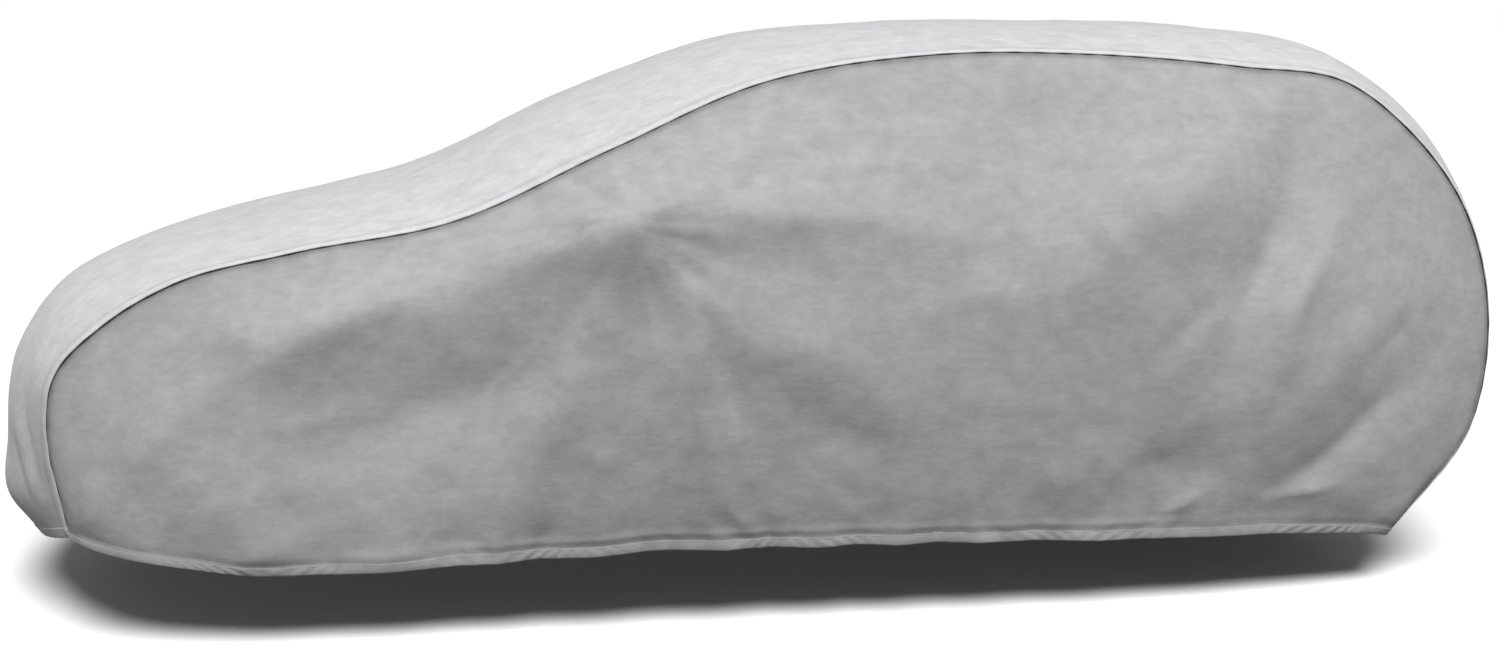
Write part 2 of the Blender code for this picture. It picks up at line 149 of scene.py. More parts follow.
# ---- finer creases, in the same columns; right_share is left out where it is 1 ----
CREASES = {
    "tip, forwards":          (1.84, 1.12, 1.36, 1.10, 0.00, 0.016, 0.030, 0.40, 0.0070, 0.25),
    "tip, up and forwards":   (1.84, 1.13, 1.58, 1.24, 0.00, 0.014, 0.024, 0.30, 0.0100, 0.30, 0.9),
    "below that crease":      (1.84, 1.13, 1.58, 1.31, 0.00, 0.014, 0.024, 0.30, -0.0120, 0.30),
    "tip, to the windscreen": (1.84, 1.13, 1.76, 1.36, 0.00, 0.016, 0.028, 0.30, 0.0090, 0.35, 0.8),
    "tip, up":                (1.84, 1.13, 1.93, 1.38, 0.00, 0.016, 0.030, 0.40, -0.0060, 0.45),
    "tip, up and back":       (1.85, 1.13, 2.10, 1.42, 0.00, 0.016, 0.035, 0.40, 0.0080, 0.45),
    "tip, back":              (1.88, 1.12, 2.30, 1.06, 0.01, 0.016, 0.040, 0.40, 0.0050, 0.35),
    "tip, back and down":     (1.86, 1.08, 2.26, 0.80, 0.01, 0.018, 0.045, 0.40, -0.0060, 0.40),
    "tip, down and forwards": (1.81, 1.06, 1.56, 0.66, 0.01, 0.018, 0.045, 0.60, -0.0060, 0.35, 0.9),
    "tip, down":              (1.84, 1.06, 1.91, 0.42, 0.00, 0.016, 0.032, 0.50, 0.0120, 0.30),
    "thin ridge down":        (1.99, 0.94, 2.03, 0.34, -0.01, 0.016, 0.026, 0.40, -0.0060, 0.40),
    "front door, thin":       (1.53, 0.86, 1.38, 0.62, 0.00, 0.020, 0.030, 0.50, -0.0050, 0.50),
    "door, front":            (1.74, 0.66, 1.72, 0.30, 0.00, 0.024, 0.030, 0.50, 0.0045, 0.50),
    "rear seats, streak":     (2.16, 1.25, 2.84, 1.30, 0.00, 0.026, 0.034, 0.40, 0.0095, 0.45),
    "rear seats, second":     (2.06, 1.27, 2.60, 1.40, 0.00, 0.024, 0.030, 0.40, 0.0065, 0.50),
    "rear seats, third":      (2.30, 1.36, 2.95, 1.44, 0.01, 0.024, 0.034, 0.50, -0.0060, 0.50),
    "rear door, streak":      (2.60, 0.93, 3.00, 0.955, 0.00, 0.024, 0.030, 0.50, 0.0050, 0.50),
    "sill, door":             (2.06, 0.44, 2.20, 0.25, 0.00, 0.020, 0.026, 0.40, 0.0060, 0.55),
    "sill, rear door":        (2.36, 0.42, 2.50, 0.25, 0.00, 0.020, 0.026, 0.40, 0.0060, 0.55),
    "sill, before the wheel": (2.70, 0.55, 2.80, 0.25, 0.00, 0.026, 0.032, 0.40, 0.0060, 0.55),
    "above the wheel":        (3.24, 0.70, 3.54, 0.94, 0.00, 0.020, 0.030, 0.40, -0.0045, 0.50),
    "above the wheel, rear":  (3.34, 0.70, 3.62, 0.96, 0.00, 0.018, 0.028, 0.40, 0.0045, 0.50),
    "quarter, thin":          (3.34, 1.20, 3.58, 1.40, 0.00, 0.022, 0.032, 0.40, 0.0055, 0.50),
    "quarter, second":        (3.12, 1.16, 3.44, 1.44, 0.00, 0.024, 0.034, 0.40, 0.0050, 0.50),
    "quarter, top":           (3.30, 1.48, 3.66, 1.52, 0.00, 0.024, 0.034, 0.40, 0.0050, 0.50),
    "tail, low":              (3.60, 0.30, 4.00, 0.37, -0.02, 0.022, 0.026, 0.30, 0.0100, 0.50),
    "tail, tuck":             (3.30, 0.27, 3.52, 0.38, -0.01, 0.022, 0.026, 0.30, 0.0100, 0.50),
    "tail, high":             (3.90, 0.62, 4.20, 0.92, -0.02, 0.024, 0.030, 0.40, -0.0060, 0.50),
    "nose, high":             (0.52, 0.92, 0.72, 0.80, 0.00, 0.028, 0.036, 0.50, -0.0050, 0.50),
    "nose, second":           (0.66, 0.95, 0.92, 0.80, 0.00, 0.026, 0.034, 0.50, 0.0050, 0.50),
    "nose, low":              (0.36, 0.73, 0.32, 0.50, 0.00, 0.024, 0.032, 0.50, -0.0050, 0.50),
    "wing, streak":           (0.86, 0.60, 1.20, 0.66, 0.00, 0.024, 0.032, 0.50, 0.0045, 0.50),
    "hem tuck":               (1.36, 0.52, 1.34, 0.22, 0.00, 0.020, 0.040, 0.40, -0.0120, 0.70),
}
CREASE_EDGE = 0.04          # the creases fade over this much cloth at the seam

# ---- folds of the strip: "along" is metres from the front hem, "across" from the middle ----
# start_along, start_across, end_along, end_across, bow, start_width, end_width, round,
# height, peak
STRIP_FOLDS = {
    "nose, left, long":      (0.05, -0.67, 0.62, -0.47, 0.00, 0.022, 0.030, 0.40, -0.007, 0.35),
    "nose, left, ridge":     (0.08, -0.61, 0.50, -0.44, 0.00, 0.020, 0.026, 0.40, 0.006, 0.35),
    "nose, left, short":     (0.07, -0.58, 0.40, -0.40, 0.00, 0.020, 0.026, 0.40, -0.006, 0.40),
    "nose, left, upper":     (0.34, -0.66, 0.90, -0.42, 0.00, 0.024, 0.040, 0.50, 0.007, 0.40),
    "nose, right, long":     (0.05, 0.66, 0.58, 0.48, 0.00, 0.022, 0.030, 0.40, -0.008, 0.35),
    "nose, right, ridge":    (0.08, 0.60, 0.48, 0.42, 0.00, 0.020, 0.026, 0.40, 0.007, 0.35),
    "nose, right, short":    (0.07, 0.56, 0.38, 0.36, 0.00, 0.020, 0.026, 0.40, -0.007, 0.40),
    "bonnet, left":          (0.85, -0.55, 1.60, -0.42, 0.00, 0.060, 0.080, 0.80, 0.004, 0.50),
    "bonnet, right":         (0.90, 0.50, 1.55, 0.40, 0.00, 0.060, 0.080, 0.80, 0.004, 0.50),
    "windscreen foot":       (1.86, -0.60, 1.86, 0.60, 0.03, 0.120, 0.120, 1.00, -0.003, 0.50),
    "tailgate, left":        (5.05, -0.30, 5.75, -0.52, 0.00, 0.050, 0.040, 0.50, -0.009, 0.60),
    "tailgate, left, ridge": (5.00, -0.40, 5.70, -0.60, 0.00, 0.050, 0.040, 0.50, 0.007, 0.60),
    "tailgate, right":       (5.10, 0.28, 5.80, 0.50, 0.00, 0.050, 0.040, 0.50, -0.008, 0.60),
}

# ---- soft unevenness of the cloth: size of the billows and their height ----
BILLOWS = ((0.42, 0.0040), (0.17, 0.0036), (0.08, 0.0022), (0.04, 0.0008))
STRIP_BILLOWS = ((0.50, 0.0030), (0.20, 0.0020), (0.09, 0.0012), (0.045, 0.0005))
WANDER, WANDER_SIZE = 0.026, 0.26   # how far the folds stray from their lines, and how often
LATTICE = 96                # corners of the random lattice each way, before it repeats
RAY, RAY_ANGLE = 0.0040, 0.16       # height of the rays round the mirror's tip, and their angle

# ---- the seam: the strip's rolled edge laps over the side ----
OVERHANG = 1.006            # the strip's edge stands out past the seam by this share
OVERHANG_SLOPE = 0.6        # and falls by this much for each metre out
ROLL, ROLL_PLACE, ROLL_WIDTH = 0.0026, 0.008, 0.010
LAP_WIDTH = 0.018           # the side dips under the strip over this much cloth
SEAM_TUCK = 0.003           # how far below the strip the tucked cloth lies
TUCK_SHARES = (0.975, 0.985)    # shares of the way out that give the tucked cloth's place
SIDE_RIPPLE, STRIP_RIPPLE, RIPPLE_FADE = 0.0008, 0.0006, 0.03
SEAM_BAND, SEAM_BAND_WIDTH = 0.8, 0.017     # shade on the side beside the seam
# also painted shade: a softer, wider band below the seam
SOFT_BAND, SOFT_BAND_WIDTH = 0.35, 0.035
EDGE_LINE, EDGE_LINE_PLACE, EDGE_LINE_WIDTH = 0.6, 0.026, 0.005     # shade on the strip
# painted highlight on the strip's rolled edge, where the light catches it
EDGE_HIGHLIGHT, EDGE_HIGHLIGHT_WIDTH = 0.25, 0.012

# ---- the hem: an elastic casing, and the cloth that it gathers ----
# The places of the puff and of the hem's line are in hem heights above the edge.
ELASTIC_START, ELASTIC_END, ELASTIC_FADE = 1.15, 3.55, 0.3
PUCKER_PITCH, PUCKER_FADE = 0.085, 0.055
STRIP_PUCKER = 0.0012       # depth of the strip's own puckers
HEM_FLARE = 0.007           # how far the cloth's edge stands out into the casing
PUFF, PUFF_PLACE, PUFF_WIDTH = 0.002, 1.6, 0.011    # swell above the casing
SHORTEST_RUN = 0.012        # where the cloth runs up less far than this, it gives no direction
CASING_DROP = 0.002         # how far the casing reaches below the cloth's edge
CASING_SHADE = 0.25         # how much of the painted shade lies on the whole casing
HEM_LINE, HEM_LINE_PLACE, HEM_LINE_WIDTH = 0.5, 1.02, 0.0028    # shade above the casing
WRINKLE, WRINKLE_PITCH = 0.0014, 0.046      # the casing's own creases
FLAT_CASING = 0.45          # the strip's casings are this much as thick as the sides'
STITCH_PLACE = 0.86         # share of the casing's height where its stitches lie
STITCH_PITCH, STITCH_RADIUS = 0.006, 0.0006

STRIP_CELLS_ALONG, STRIP_CELLS_ACROSS = 380, 110
HEM_CELLS, STRIP_HEM_CELLS = 1000, 320

# ---- the studio ----
FLOOR_HALF = 60.0
LAMP_PLACE = (0.0, -4.0, 4.0)
CAMERA_PLACE = (-1.59, -5.88, 0.121)
CAMERA_TILT, CAMERA_TURN = math.radians(79.6), math.radians(-8.4)

# which way each side is turned from the surface, which is drawn towards +Y
SIDES = {"left": np.array((1.0, -1.0, 1.0)), "right": np.array((1.0, 1.0, 1.0))}

record_colours = {m["slot"]: tuple(m["base_color"]) for m in frame["record"]["materials"]}


# ---------------------------------------------------------------- properties

def setting(name, description, default, low, high=100.0, **more):
    return FloatProperty(name=name, description=description, default=default,
                         min=low, max=high, **more)


def length_setting(name, description, default, low, high):
    return setting(name, description, default, low, high, precision=4, unit="LENGTH")


def angle_setting(name, description, degrees):
    return setting(name, description, math.radians(degrees), 0.0, 1.57, unit="ROTATION")


def cells_setting(name, description, default, low, high):
    return IntProperty(name=name, description=description, default=default, min=low, max=high)


def colour_setting(name, description, default):
    return FloatVectorProperty(name=name, description=description, default=default,
                               subtype="COLOR", size=3, min=0, max=1)


class CoverSizes(bpy.types.PropertyGroup):
    """Sizes of the cloth, its seam and its hem."""
    cloth: length_setting("Cloth", "Thickness of the cloth", 0.0014, 0.0005, 0.003)
    lap: length_setting("Seam Lap", "How far the side is tucked under the strip", 0.0035, 0.0, 0.015)
    hem: length_setting("Hem Height", "Height of the elastic's casing", 0.030, 0.01, 0.06)
    casing: length_setting("Casing", "Thickness of the casing with its elastic", 0.0075, 0.003, 0.015)
    pucker: length_setting("Puckers", "Depth of the small puckers at the hem", 0.0070, 0.0, 0.012)
    crease: setting("Creases", "Strength of the fine creases", 1.0, 0.0, 2.0)
    cells_along: cells_setting("Cells Along", "Cells along a side panel", 330, 60, 600)
    cells_down: cells_setting("Cells Down", "Cells from the seam to the hem", 144, 20, 300)


class CoverColours(bpy.types.PropertyGroup):
    """Colours of the cloths and the thread."""
    light: colour_setting("Light Cloth", "Colour of the strip", record_colours["light_cloth"])
    grey: colour_setting("Grey Cloth", "Colour of the sides", record_colours["grey_cloth"])
    thread: colour_setting("Thread", "Colour of the stitches", (0.42, 0.42, 0.43))


class CoverStudio(bpy.types.PropertyGroup):
    """The floor, the lights and the camera."""
    floor: colour_setting("Floor", "Colour of the floor", (0.97, 0.97, 0.97))
    key: setting("Key", "Strength of the broad light above the camera", 4.1, 0.0)
    key_height: angle_setting("Key Height", "Angle of the light above the floor", 58.0)
    key_spread: angle_setting("Key Spread", "Angle that the light fills", 30.0)
    sky: setting("Sky", "Strength of the surroundings above", 0.18, 0.0)
    ground: setting("Ground", "Strength of the surroundings below", 0.15, 0.0)
    lens: setting("Lens", "Focal length of the camera in millimetres", 45.26, 10.0, 200.0)


# ---------------------------------------------------------------- surfaces

def through(knots, rows, at):
    """A smooth curve through the rows at its knots: on each span a cubic whose slopes at
    both ends are those of the neighbouring rows."""
    slopes = np.gradient(rows, knots, axis=0)
    span = np.clip(np.searchsorted(knots, at, side="right") - 1, 0, len(knots) - 2)
    width = (knots[span + 1] - knots[span])[:, None]
    s = (at - knots[span])[:, None] / width
    start, end = rows[span], rows[span + 1]
    return (start * (1 + 2 * s) * (1 - s) ** 2 + end * s * s * (3 - 2 * s)
            + width * (slopes[span] * s * (1 - s) ** 2 - slopes[span + 1] * s * s * (1 - s)))


def run_along(line):
    """How far each point of a line lies from its start, measured along the line."""
    return np.concatenate(([0.0], np.cumsum(np.linalg.norm(np.diff(line, axis=0), axis=1))))


SECTION_TABLE = np.array(list(SECTIONS.values()))
SEAM_START = SECTION_COLUMNS.index("seam_back")
SEAM_KNOTS = run_along(SECTION_TABLE[:, SEAM_START:SEAM_START + 3])
SEAM_LENGTH = SEAM_KNOTS[-1]


def seam_place(section):
    """How far along the seam a named section lies."""
    return SEAM_KNOTS[list(SECTIONS).index(section)]


def read_sections(at):
    """The section table at those places along the seam, one column of numbers for each name."""
    values = through(SEAM_KNOTS, SECTION_TABLE, at)
    return {name: values[:, [column]] for column, name in enumerate(SECTION_COLUMNS)}


def edge_line(rows, edge):
    """The points of the seam or of the hem."""
    return np.concatenate([rows[f"{edge}_{way}"] for way in ("back", "out", "up")], axis=1)


def dense_steps(length, count, spots):
    """Steps from 0 to the length that lie closer together around each spot, given as its
    place, its spread and how many more cells per metre it has."""
    fine = np.linspace(0.0, length, 4001)
    weight = np.ones_like(fine)
    for place, spread, more in spots:
        weight += more * np.exp(-((fine - place) / spread) ** 2)
    share = np.concatenate(([0.0], np.cumsum((weight[1:] + weight[:-1]) / 2)))
    return np.interp(np.linspace(0.0, share[-1], count + 1), share, fine)


def rise(distance, width):
    """0 at the line, rising smoothly to 1 at the width."""
    s = np.clip(distance / width, 0.0, 1.0)
    return s * s * (3.0 - 2.0 * s)


def unit(vectors):
    return vectors / np.maximum(np.linalg.norm(vectors, axis=-1, keepdims=True), 1e-12)


def grid_normals(points):
    """Unit normals of a grid, from the cross product of its two slopes. A first or last
    row that is one point takes the mean of the row beside it."""
    along, across = np.gradient(points, axis=0), np.gradient(points, axis=1)
    normals = unit(np.cross(along, across))
    for end, beside in ((0, 1), (-1, -2)):
        if np.ptp(points[end], axis=0).max() < 0.002:
            normals[end] = unit(normals[beside].mean(axis=0))
    return normals


def mirror_tent(back, up):
    """A cone with a round tip over the door mirror, which fades away exponentially."""
    distance = np.hypot(back - MIRROR_BACK, up - MIRROR_UP)
    from_tip = np.sqrt(distance ** 2 + MIRROR_TIP ** 2) - MIRROR_TIP
    return MIRROR_REACH * np.exp(-from_tip / MIRROR_SPREAD)


def fold_heights(table, x, y, right):
    """The sum of the folds of a table. Across a fold its height falls away exponentially
    from a round crest, at its width, which changes from one end to the other. Along it
    the height rises smoothly to its peak and falls again, and its line is bowed."""
    total = np.zeros(np.broadcast(x, y).shape)
    for row in table.values():
        x0, y0, x1, y1, bow, start_width, end_width, crest, height, peak, *right_share = row
        run_x, run_y = x1 - x0, y1 - y0
        length = np.hypot(run_x, run_y)
        share = ((x - x0) * run_x + (y - y0) * run_y) / length ** 2
        above = ((y - y0) * abs(run_x) - (x - x0) * run_y * (np.sign(run_x) or 1.0)) / length
        width = start_width + (end_width - start_width) * np.clip(share, 0.0, 1.0)
        off = (above - bow * 4 * share * (1 - share)) / width
        ends = rise(share, peak) * rise(1.0 - share, 1.0 - peak)
        section = np.exp(crest - np.sqrt(off ** 2 + crest ** 2))
        if right and right_share:
            height = height * right_share[0]
        total += height * ends * section
    return total


def gathers(back, above_hem):
    """Waves along the hem, fading upwards and at both ends of the elastic."""
    reach = rise(back - GATHER_START, GATHER_PITCH) * rise(GATHER_END - back, GATHER_PITCH)
    wave = np.sin(2 * np.pi * back / GATHER_PITCH + np.sin(5.0 * back))
    return GATHER_DEPTH * wave * reach * np.exp(-above_hem / GATHER_HEIGHT)


def lattice(x, y, size, seed):
    """Smooth random heights from -1 to 1: a value at each corner of a square lattice,
    blended across each square with a smooth step in both directions."""
    corners = np.random.default_rng(seed).uniform(-1.0, 1.0, (LATTICE, LATTICE))
    cell_x, cell_y = np.floor(x / size), np.floor(y / size)
    s, t = rise(x / size - cell_x, 1.0), rise(y / size - cell_y, 1.0)
    i, j = cell_x.astype(int) % LATTICE, cell_y.astype(int) % LATTICE
    i_next, j_next = (i + 1) % LATTICE, (j + 1) % LATTICE
    near = corners[i, j] * (1 - s) + corners[i_next, j] * s
    far = corners[i, j_next] * (1 - s) + corners[i_next, j_next] * s
    return near * (1 - t) + far * t


def billows(x, y, layers, seed):
    """The sum of the lattices of a table of sizes and heights, each turned a little."""
    total = np.zeros(np.broadcast(x, y).shape)
    for step, (size, height) in enumerate(layers):
        turn = 0.5 + 0.9 * step
        u = x * math.cos(turn) + y * math.sin(turn) + 11.0
        v = y * math.cos(turn) - x * math.sin(turn) + 17.0
        total += height * lattice(u, v, size, seed + step)
    return total


def wander(back, up, seed):
    """Places moved a little this way and that, so that folds read there run unevenly. Near
    the mirror's tip they stay where they are, and the folds meet in one point."""
    free = rise(np.hypot(back - MIRROR_BACK, up - MIRROR_UP), 0.45) * WANDER
    return (back + free * lattice(back + 9.0, up + 9.0, WANDER_SIZE, seed),
            up + free * lattice(back + 9.0, up + 9.0, WANDER_SIZE, seed + 1))


def tip_rays(back, up, seed):
    """Small creases that run out from the mirror's tip: random heights over the angle
    round the tip, strongest a hand's breadth away from it and towards the rear, and
    almost gone at half a metre."""
    run_back, run_up = back - MIRROR_BACK, up - MIRROR_UP
    distance = np.hypot(run_back, run_up)
    angle = np.arctan2(run_up, run_back)
    spread = rise(distance, 0.10) * np.exp(-(distance / 0.30) ** 2)
    around = np.cos(angle * 0.5) ** 2
    rays = lattice(angle + 10.0, np.zeros_like(angle), RAY_ANGLE, seed)
    return RAY * spread * rays * (0.4 + 0.6 * around)


def puckers(along, above, reach, seed):
    """Small gathers at the elastic: an uneven wave along the hem that leans one way and
    then the other, and fades upwards within a hand's breadth."""
    place = along + 0.5 * np.sin(along * 7.3 + seed) * above
    phase = 2 * np.pi * place / PUCKER_PITCH + 1.4 * np.sin(place * 15.0 + seed)
    phase += np.sin(place * 6.1)
    wave = 0.65 * np.sin(phase) + 0.35 * np.sin(0.47 * phase + 2.0)
    uneven = 0.55 + 0.45 * np.sin(along * 9.7 + 2.0 * seed)
    return wave * uneven * reach * (0.3 + 0.7 * rise(above, 0.04)) * np.exp(-above / PUCKER_FADE)


def seam_ripple(along, from_seam):
    """Small uneven waves beside the seam, where the stitches draw the cloth together."""
    fade = np.exp(-np.abs(from_seam) / RIPPLE_FADE)
    return np.sin(along * 74.0 + 2.0 * np.sin(along * 9.0)) * fade


def slant(lines, chords):
    """How square each section runs to its edge: the sine of the angle between them."""
    sine = np.linalg.norm(np.cross(unit(np.gradient(lines, axis=0)), unit(chords)), axis=1)
    sine[0], sine[-1] = sine[1], sine[-2]
    return np.maximum(sine, 0.3)[:, None]


def side_surface(sizes, at, v, right):
    """A side's outer face, drawn out towards +Y, at places along the seam and shares of
    the way from the seam to the hem. Each section runs straight down as seen from the
    side, and its out distance is the cubic through the seam, high, low and hem values.
    The tent, folds, creases, billows, puckers and the lap at the seam then move it along
    its normal. Returns the points, the normals, and the distances from seam and hem."""
    rows = read_sections(at)
    seam, hem = edge_line(rows, "seam"), edge_line(rows, "hem")
    v = np.broadcast_to(v, (len(at), v.shape[-1]))
    back = rows["seam_back"] * (1 - v) + rows["hem_back"] * v
    up = rows["seam_up"] * (1 - v) + rows["hem_up"] * v
    out = (rows["seam_out"] * (1 - 3 * v) * (1 - 1.5 * v) * (1 - v)
           + rows["high_out"] * 9 * v * (1 - 1.5 * v) * (1 - v)
           - rows["low_out"] * 4.5 * v * (1 - 3 * v) * (1 - v)
           + rows["hem_out"] * v * (1 - 3 * v) * (1 - 1.5 * v))
    plain = np.stack((back, out, up), axis=2)
    chord = hem - seam
    length = np.linalg.norm(chord, axis=1)[:, None]
    below_seam, above_hem = v * length, (1 - v) * length
    from_seam = below_seam * slant(seam, chord)
    from_hem = above_hem * slant(hem, chord)

    seed = 40 if right else 20
    fold_back, fold_up = wander(back, up, seed + 7)
    lift = mirror_tent(back, up) + fold_heights(FOLDS, fold_back, fold_up, right)
    lift = lift * (1 + rise(above_hem, HEM_EDGE)) / 2 + gathers(back, above_hem)
    lift = lift * rise(below_seam, FOLD_EDGE)

    fine = fold_heights(CREASES, fold_back, fold_up, right) + tip_rays(back, up, seed)
    fine = fine * sizes.crease + billows(back, up, BILLOWS, seed)
    lift += fine * rise(from_seam, CREASE_EDGE) * (0.4 + 0.6 * rise(from_hem, 0.08))

    elastic = rise(back - ELASTIC_START, ELASTIC_FADE) * rise(ELASTIC_END - back, ELASTIC_FADE)
    elastic = 0.25 + 0.75 * elastic
    lift += sizes.pucker * puckers(run_along(hem)[:, None], from_hem, elastic, seed)
    lift += HEM_FLARE * np.clip(1.0 - from_hem / sizes.hem, 0.0, 1.0)
    lift += PUFF * elastic * np.exp(-((from_hem - PUFF_PLACE * sizes.hem) / PUFF_WIDTH) ** 2)
    lift += SIDE_RIPPLE * seam_ripple(at[:, None], from_seam)
    lift -= sizes.lap * np.exp(-(from_seam / LAP_WIDTH) ** 1.2)
    ends = rise(length, 0.05)
    normals = grid_normals(plain)
    points = plain + normals * (lift * ends)[..., None]
    return points, grid_normals(points), from_seam, from_hem


def strip_surface(sizes, at, share):
    """The strip's outer face, at places along the seam and shares of the way out from the
    middle: each section is an arch, which falls with the share to the crown's power."""
    rows = read_sections(at)
    share = np.broadcast_to(share, (len(at), share.shape[-1]))
    arch = np.abs(share) ** rows["crown"]
    back = rows["middle_back"] * (1 - arch) + rows["seam_back"] * arch
    up = rows["middle_up"] * (1 - arch) + rows["seam_up"] * arch
    up = up - OVERHANG_SLOPE * np.maximum(np.abs(share) - 1.0, 0.0) * rows["seam_out"]
    plain = np.stack((back, rows["seam_out"] * share, up), axis=2)
    steps = np.linalg.norm(np.diff(plain, axis=0), axis=2)
    along = np.concatenate((np.zeros((1, share.shape[1])), np.cumsum(steps, axis=0)))
    from_seam = (1 - np.abs(share)) * rows["seam_out"]
    from_hem = np.minimum(along, along[-1] - along)
    across = plain[..., 1]
    lift = fold_heights(STRIP_FOLDS, along, across, False)
    lift += billows(along, across, STRIP_BILLOWS, 60)
    lift *= rise(from_seam, 0.10) * (0.2 + 0.8 * rise(from_hem, 0.12))
    lift += STRIP_RIPPLE * seam_ripple(along, from_seam) * np.sign(across)
    lift += ROLL * np.exp(-((from_seam - ROLL_PLACE) / ROLL_WIDTH) ** 2)
    lift += STRIP_PUCKER * puckers(across, from_hem, 1.0, 7)
    normals = grid_normals(plain)
    points = plain + normals * lift[..., None]
    return points, grid_normals(points), from_seam, from_hem


def side_painted_shade(sizes, from_seam, from_hem):
    """How deep in shade the side lies: a band along the seam, and a thin line where the
    casing is sewn on."""
    shade = SEAM_BAND * np.exp(-(from_seam / SEAM_BAND_WIDTH) ** 4)
    shade += SOFT_BAND * np.exp(-from_seam / SOFT_BAND_WIDTH)
    from_line = from_hem - HEM_LINE_PLACE * sizes.hem
    shade += HEM_LINE * np.exp(-(from_line / HEM_LINE_WIDTH) ** 2)
    return np.clip(shade, 0.0, 1.0)


def strip_painted_shade(from_seam):
    """How deep in shade the strip lies: a line beside its rolled edge, and a painted highlight
    that makes the edge itself paler.
    """
    line = EDGE_LINE * np.exp(-((from_seam - EDGE_LINE_PLACE) / EDGE_LINE_WIDTH) ** 2)
    return line - EDGE_HIGHLIGHT * np.exp(-(from_seam / EDGE_HIGHLIGHT_WIDTH) ** 4)


# ---------------------------------------------------------------- meshes

def new_piece(name, points, faces, material, masks=None, cut=None, closed=False):
    """A mesh object in the part's frame, from points in the fitter's measures. masks are
    point attributes by name, and cut is the piece's own UV map in metres. A closed piece
    has its normals turned outwards, and any other has its double points merged."""
    shift = np.array((MOUNT_BACK, 0.0, MOUNT_UP))
    mesh = bpy.data.meshes.new(name)
    mesh.from_pydata((points - shift).tolist(), [], faces)
    for label, values in (masks or {}).items():
        layer = mesh.attributes.new(label, "FLOAT", "POINT")
        layer.data.foreach_set("value", values.astype(np.float32).ravel())
    if cut is not None:
        corners = np.empty(len(mesh.loops), np.int32)
        mesh.loops.foreach_get("vertex_index", corners)
        layer = mesh.uv_layers.new(name="cut")
        layer.data.foreach_set("uv", cut[corners].astype(np.float32).ravel())
    work = bmesh.new()
    work.from_mesh(mesh)
    if closed:
        bmesh.ops.recalc_face_normals(work, faces=work.faces)
    else:
        bmesh.ops.remove_doubles(work, verts=work.verts, dist=0.00002)
    work.to_mesh(mesh)
    work.free()
    mesh.shade_smooth()
    mesh.materials.append(material)
    piece = bpy.data.objects.new(name, mesh)
    bpy.context.scene.collection.objects.link(piece)
    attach(piece, "root")
    return piece


def grid_faces(rows, columns, ring=False, flip=False):
    """The quads of a grid of points; with ring, the last column joins the first."""
    index = np.arange(rows * columns).reshape(rows, columns)
    if ring:
        index = np.concatenate((index, index[:, :1]), axis=1)
    corners = (index[:-1, :-1], index[1:, :-1], index[1:, 1:], index[:-1, 1:])
    faces = np.stack(corners, axis=-1).reshape(-1, 4)
    return faces[:, ::-1] if flip else faces


def sheet_piece(name, grid, cut, material, thickness, masks, flip):
    """A thin sheet from a grid of points on its outer face, thickened inwards."""
    faces = grid_faces(*grid.shape[:2], flip=flip).tolist()
    piece = new_piece(name, grid.reshape(-1, 3), faces, material, masks, cut.reshape(-1, 2))
    solid = piece.modifiers.new("thickness", "SOLIDIFY")
    solid.thickness = thickness
    solid.offset = -1.0
    solid.use_rim = True
    return piece


def casing_face(sizes, height, fullness):
    """Half the casing's thickness at a height above its lower edge: an oval that is
    pinched where it is sewn to the cloth."""
    turn = np.arccos(np.clip(1.0 - 2.0 * height / sizes.hem, -1.0, 1.0))
    return fullness * sizes.casing / 2 * np.sin(turn) ** 0.6


def casing_wrinkles(along, height, seed):
    """Short slanting creases in the casing, where the elastic draws it together."""
    place = along + 1.4 * height * np.sin(along * 11.0 + seed)
    wave = np.sin(2 * np.pi * place / WRINKLE_PITCH + 1.6 * np.sin(place * 21.0 + seed))
    return WRINKLE * wave * (0.5 + 0.5 * np.sin(along * 8.3 + seed))


def casing_piece(name, sizes, path, normals, ups, seed, fullness, material):
    """The elastic's casing: an oval tube carried along the hem's edge, which holds the
    cloth's edge between its outer and its inner face."""
    around = np.linspace(0.0, 2 * np.pi, 18, endpoint=False)[None, :]
    along = run_along(path)[:, None]
    height = sizes.hem * (1 - np.cos(around)) / 2
    face = casing_face(sizes, height, fullness) * np.sign(np.sin(around) + 1e-9)
    wrinkles = casing_wrinkles(along, height, seed) * np.clip(np.sin(around), 0.0, 1.0)
    face = face + fullness ** 2 * wrinkles
    points = (path[:, None, :] + ups[:, None, :] * (height - CASING_DROP)[..., None]
              + normals[:, None, :] * face[..., None])
    count, sides = points.shape[:2]
    faces = grid_faces(count, sides, ring=True).tolist()
    faces += [list(range(sides)), list(range((count - 1) * sides, count * sides))]
    # painted shade: a little over the whole casing, and in full over its top, where it is sewn on
    shade = CASING_SHADE + (1.0 - CASING_SHADE) * rise(height - sizes.hem * 0.80, 0.005)
    piece = new_piece(name, points.reshape(-1, 3), faces, material,
                      {"painted_shade": np.broadcast_to(shade, (count, sides))}, closed=True)


